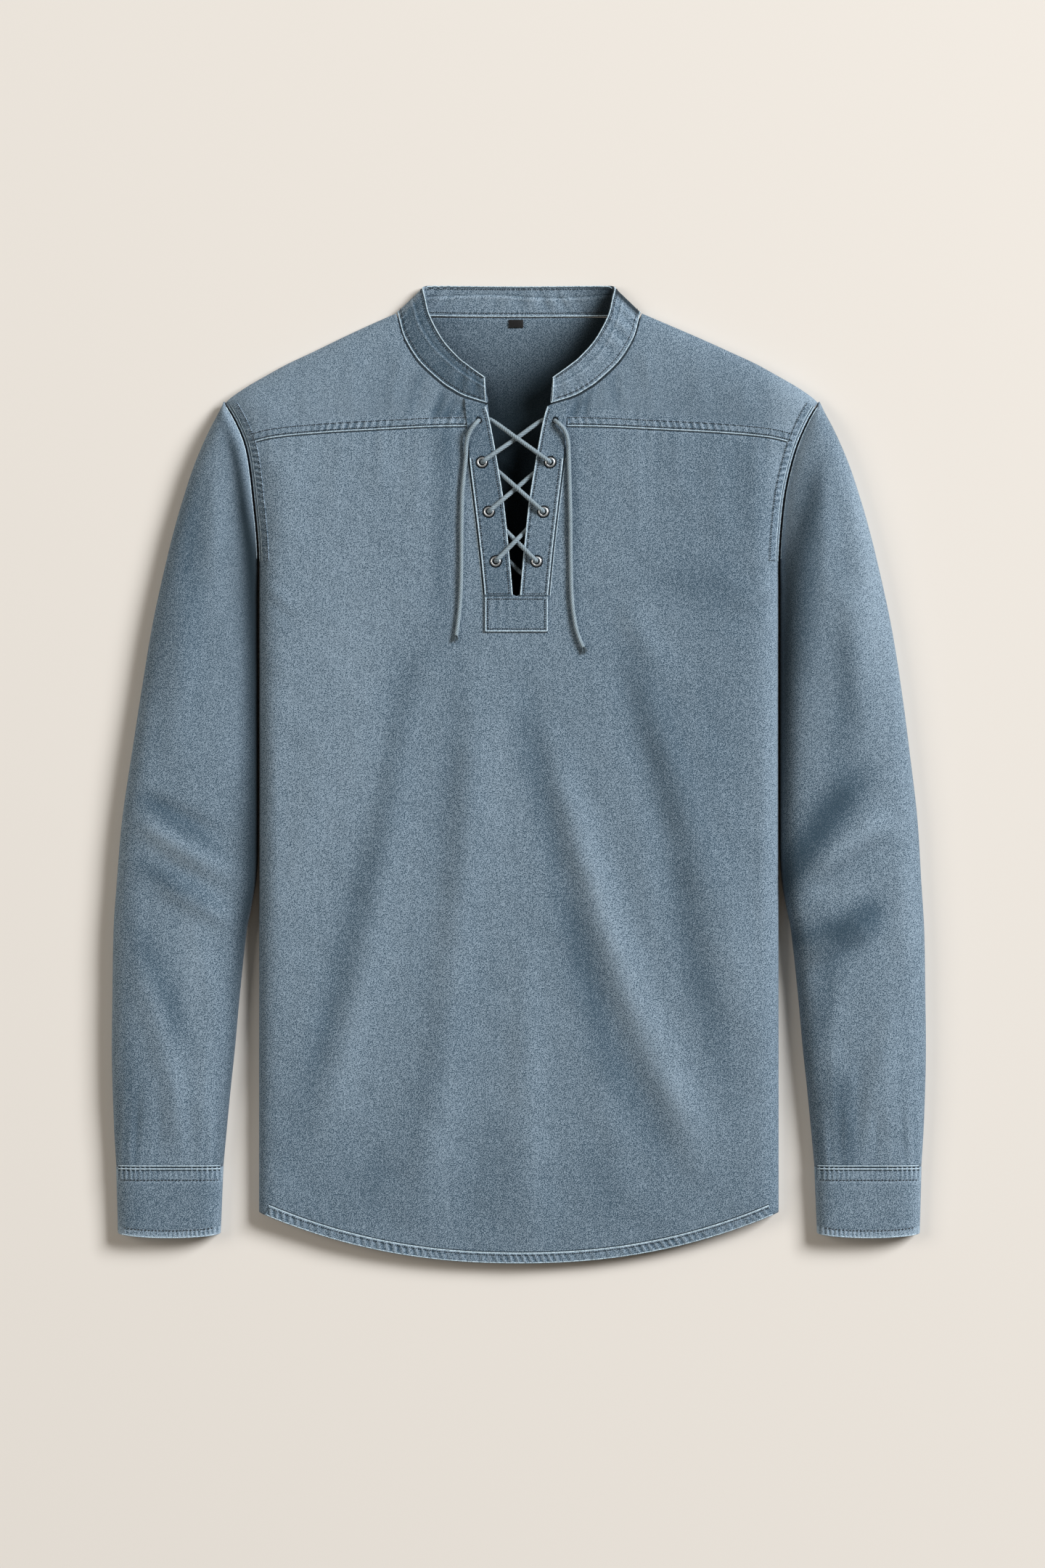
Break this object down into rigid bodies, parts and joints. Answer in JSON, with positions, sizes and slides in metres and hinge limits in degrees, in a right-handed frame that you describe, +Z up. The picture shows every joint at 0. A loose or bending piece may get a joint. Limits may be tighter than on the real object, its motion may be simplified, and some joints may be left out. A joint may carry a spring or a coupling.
{
  "type": "lace-up shirt",
  "caption": "Long-sleeved denim shirt with stand collar, laced neck slit, cuffs and curved hem, laid out flat on its back; hollow body and sleeves are open at neck, hem and cuffs.",
  "frame": {"origin": "middle of the laid-out shirt, on the surface it lies on", "axes": "+X towards the wearer's left sleeve, +Y towards the collar, +Z up from the surface"},
  "size_m": [0.6516, 0.7825, 0.0307],
  "materials": {
    "denim": "washed light indigo denim, matt",
    "placket_denim": "the same denim, folded and edge-stitched",
    "eyelet_metal": "plated eyelet metal, softly worn",
    "lace": "round woven cotton lace, pale grey blue",
    "label": "small dark woven tab, bare"
  },
  "bodies": {
    "root": {"back": "denim", "front": "denim", "yoke_right": "denim", "yoke_left": "denim", "sleeve_right": "denim", "sleeve_left": "denim", "cuff_right": "denim", "cuff_left": "denim", "collar_band": "denim", "placket_right": "placket_denim", "placket_left": "placket_denim", "placket_base": "placket_denim", "eyelet_right_1": "eyelet_metal", "eyelet_right_2": "eyelet_metal", "eyelet_right_3": "eyelet_metal", "eyelet_left_1": "eyelet_metal", "eyelet_left_2": "eyelet_metal", "eyelet_left_3": "eyelet_metal", "lace_crossings": "lace", "lace_end_right": "lace", "lace_end_left": "lace", "size_label": "label"}
  },
  "joints": []
}
